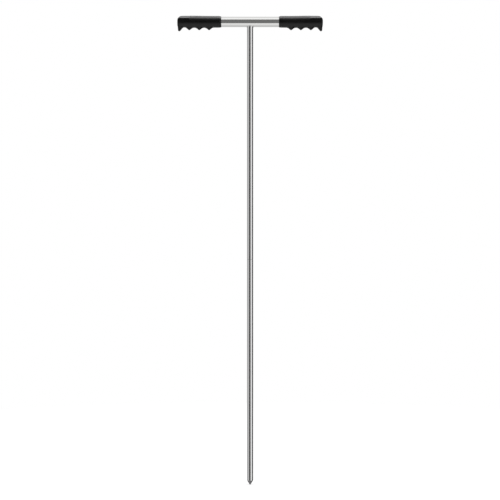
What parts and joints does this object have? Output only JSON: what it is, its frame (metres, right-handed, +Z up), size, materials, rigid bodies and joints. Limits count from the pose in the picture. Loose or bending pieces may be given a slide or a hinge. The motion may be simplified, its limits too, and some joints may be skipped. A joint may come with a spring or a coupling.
{
  "type": "soil probe",
  "caption": "T-handled soil probe: moulded finger grips on a polished cross tube, and a slim pointed rod in screwed sections that is pushed into the ground by hand.",
  "frame": {"origin": "the tip of the point, at the bottom of the upright probe, in the middle of its outline", "axes": "+Z up the rod from the point to the handle, +X along the handle tube"},
  "size_m": [0.3098, 0.0248, 0.9994],
  "materials": {
    "polished_steel": "polished stainless steel",
    "weld_steel": "dressed weld",
    "stud_steel": "plain machined thread",
    "washer_fibre": "dark hard fibre",
    "grip_vinyl": "black moulded vinyl with a soft sheen"
  },
  "bodies": {
    "lower_section": {"lower_rod": "polished_steel", "joint_stud": "stud_steel"},
    "washer": {"joint_washer": "washer_fibre"},
    "upper_section": {"upper_rod": "polished_steel", "tee_weld": "weld_steel", "handle_tube": "polished_steel", "left_grip": "grip_vinyl", "right_grip": "grip_vinyl"}
  },
  "joints": [
    {"name": "section_unscrew", "type": "hinge", "parent": "lower_section", "child": "washer", "pos_m": [0, 0, 0.48], "axis": [0, 0, 1], "range_deg": [0, 5760]},
    {"name": "section_lift", "type": "slide", "parent": "washer", "child": "upper_section", "axis": [0, 0, 1], "range_m": [0, 0.0201]}
  ],
  "couplings": [
    {"joint": "section_lift", "follows": "section_unscrew", "m_per_rad": 0.00019894}
  ]
}
